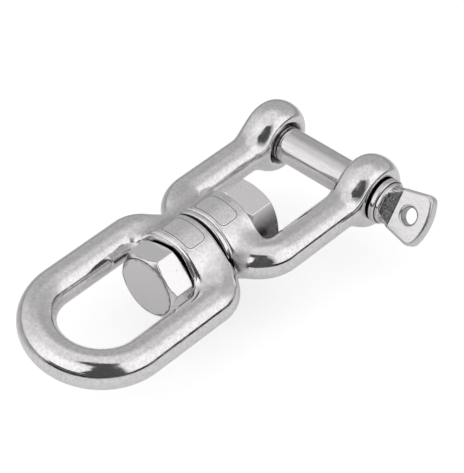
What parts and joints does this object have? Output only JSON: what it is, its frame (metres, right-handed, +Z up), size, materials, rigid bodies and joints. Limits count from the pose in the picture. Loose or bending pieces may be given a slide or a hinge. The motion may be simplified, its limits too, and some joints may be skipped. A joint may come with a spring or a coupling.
{
  "type": "jaw and eye anchor swivel",
  "caption": "Polished stainless steel swivel joining an anchor to its chain: a forged eye and a forged jaw turn on a through bolt, and a screw pin with a holed tab closes the jaw.",
  "frame": {"origin": "centre of the bolt head's flat end face, on the swivel axis", "axes": "+X along the swivel axis from the eye to the jaw, Y along the jaw pin with its tab at -Y, +Z up, square to the jaw's plane"},
  "size_m": [0.1402, 0.0737, 0.028],
  "materials": {
    "eye_steel": "forged stainless steel, polished almost to a mirror",
    "jaw_steel": "forged stainless steel, polished almost to a mirror",
    "bolt_steel": "machined stainless steel, satin, lightly scratched",
    "nut_steel": "machined stainless steel, satin, lightly scratched",
    "pin_steel": "turned and forged stainless steel, polished, with a grainier tab"
  },
  "bodies": {
    "jaw": {"jaw_body": "jaw_steel"},
    "eye": {"eye_body": "eye_steel"},
    "bolt": {"swivel_bolt": "bolt_steel", "swivel_nut": "nut_steel"},
    "pin": {"jaw_pin": "pin_steel"}
  },
  "joints": [
    {"name": "swivel", "type": "hinge", "parent": "jaw", "child": "eye", "pos_m": [0.023, 0, 0], "axis": [1, 0, 0], "continuous": true},
    {"name": "bolt_spin", "type": "hinge", "parent": "jaw", "child": "bolt", "pos_m": [0.023, 0, 0], "axis": [1, 0, 0], "continuous": true},
    {"name": "pin_withdraw", "type": "slide", "parent": "jaw", "child": "pin", "axis": [0, -1, 0], "range_m": [0, 0.041]}
  ]
}
